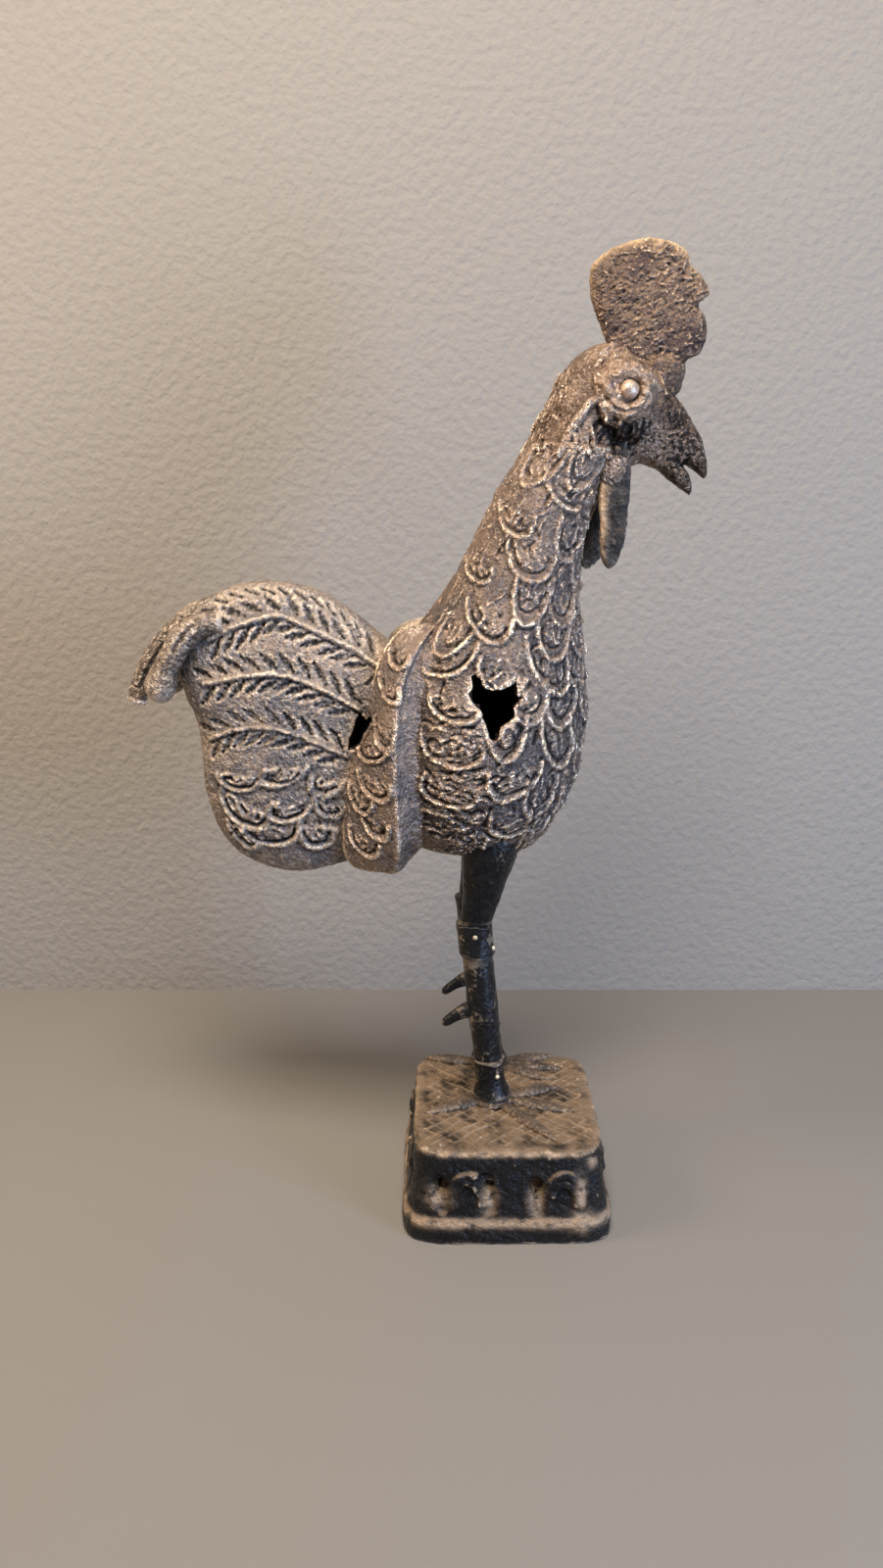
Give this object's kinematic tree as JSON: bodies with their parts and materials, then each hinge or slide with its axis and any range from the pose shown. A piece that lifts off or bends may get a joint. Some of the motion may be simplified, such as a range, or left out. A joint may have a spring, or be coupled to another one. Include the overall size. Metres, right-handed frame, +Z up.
{
  "type": "cockerel figurine",
  "caption": "Cast bronze cockerel with scaled plumage, tall plate comb and arched tail fan, standing on two straight legs on a hollow square plinth.",
  "frame": {"origin": "on the surface that the plinth stands on, under the middle of the figure's bounding box", "axes": "+X towards the beak, +Y towards the bird's left, +Z up"},
  "size_m": [0.18, 0.0762, 0.3],
  "materials": {
    "bronze_patina": "rough dark brown patina, worn to tan metal on the raised edges",
    "dark_bronze": "near-black satin patina",
    "dusty_bronze": "black-brown patina with dust in the hollows",
    "worn_pin": "worn bright"
  },
  "bodies": {
    "root": {"body_shell": "bronze_patina", "tail_fan": "bronze_patina", "middle_sickle_feather": "bronze_patina", "right_sickle_feather": "bronze_patina", "left_sickle_feather": "bronze_patina", "head": "bronze_patina", "comb": "bronze_patina", "right_wing": "bronze_patina", "left_wing": "bronze_patina", "right_eye_ring": "bronze_patina", "left_eye_ring": "bronze_patina", "right_eye": "bronze_patina", "left_eye": "bronze_patina", "right_wattle": "bronze_patina", "left_wattle": "bronze_patina", "right_thigh": "dark_bronze", "right_knee_sleeve": "dark_bronze", "right_shank": "dark_bronze", "right_spur": "dark_bronze", "right_ankle_collar": "dark_bronze", "left_thigh": "dark_bronze", "left_knee_sleeve": "dark_bronze", "left_shank": "dark_bronze", "left_spur": "dark_bronze", "left_ankle_collar": "dark_bronze", "plinth": "dusty_bronze", "right_foot": "dusty_bronze", "left_foot": "dusty_bronze", "right_knee_upper_pin": "worn_pin", "right_knee_lower_pin": "worn_pin", "right_ankle_pin": "worn_pin", "left_knee_upper_pin": "worn_pin", "left_knee_lower_pin": "worn_pin", "left_ankle_pin": "worn_pin"}
  },
  "joints": []
}
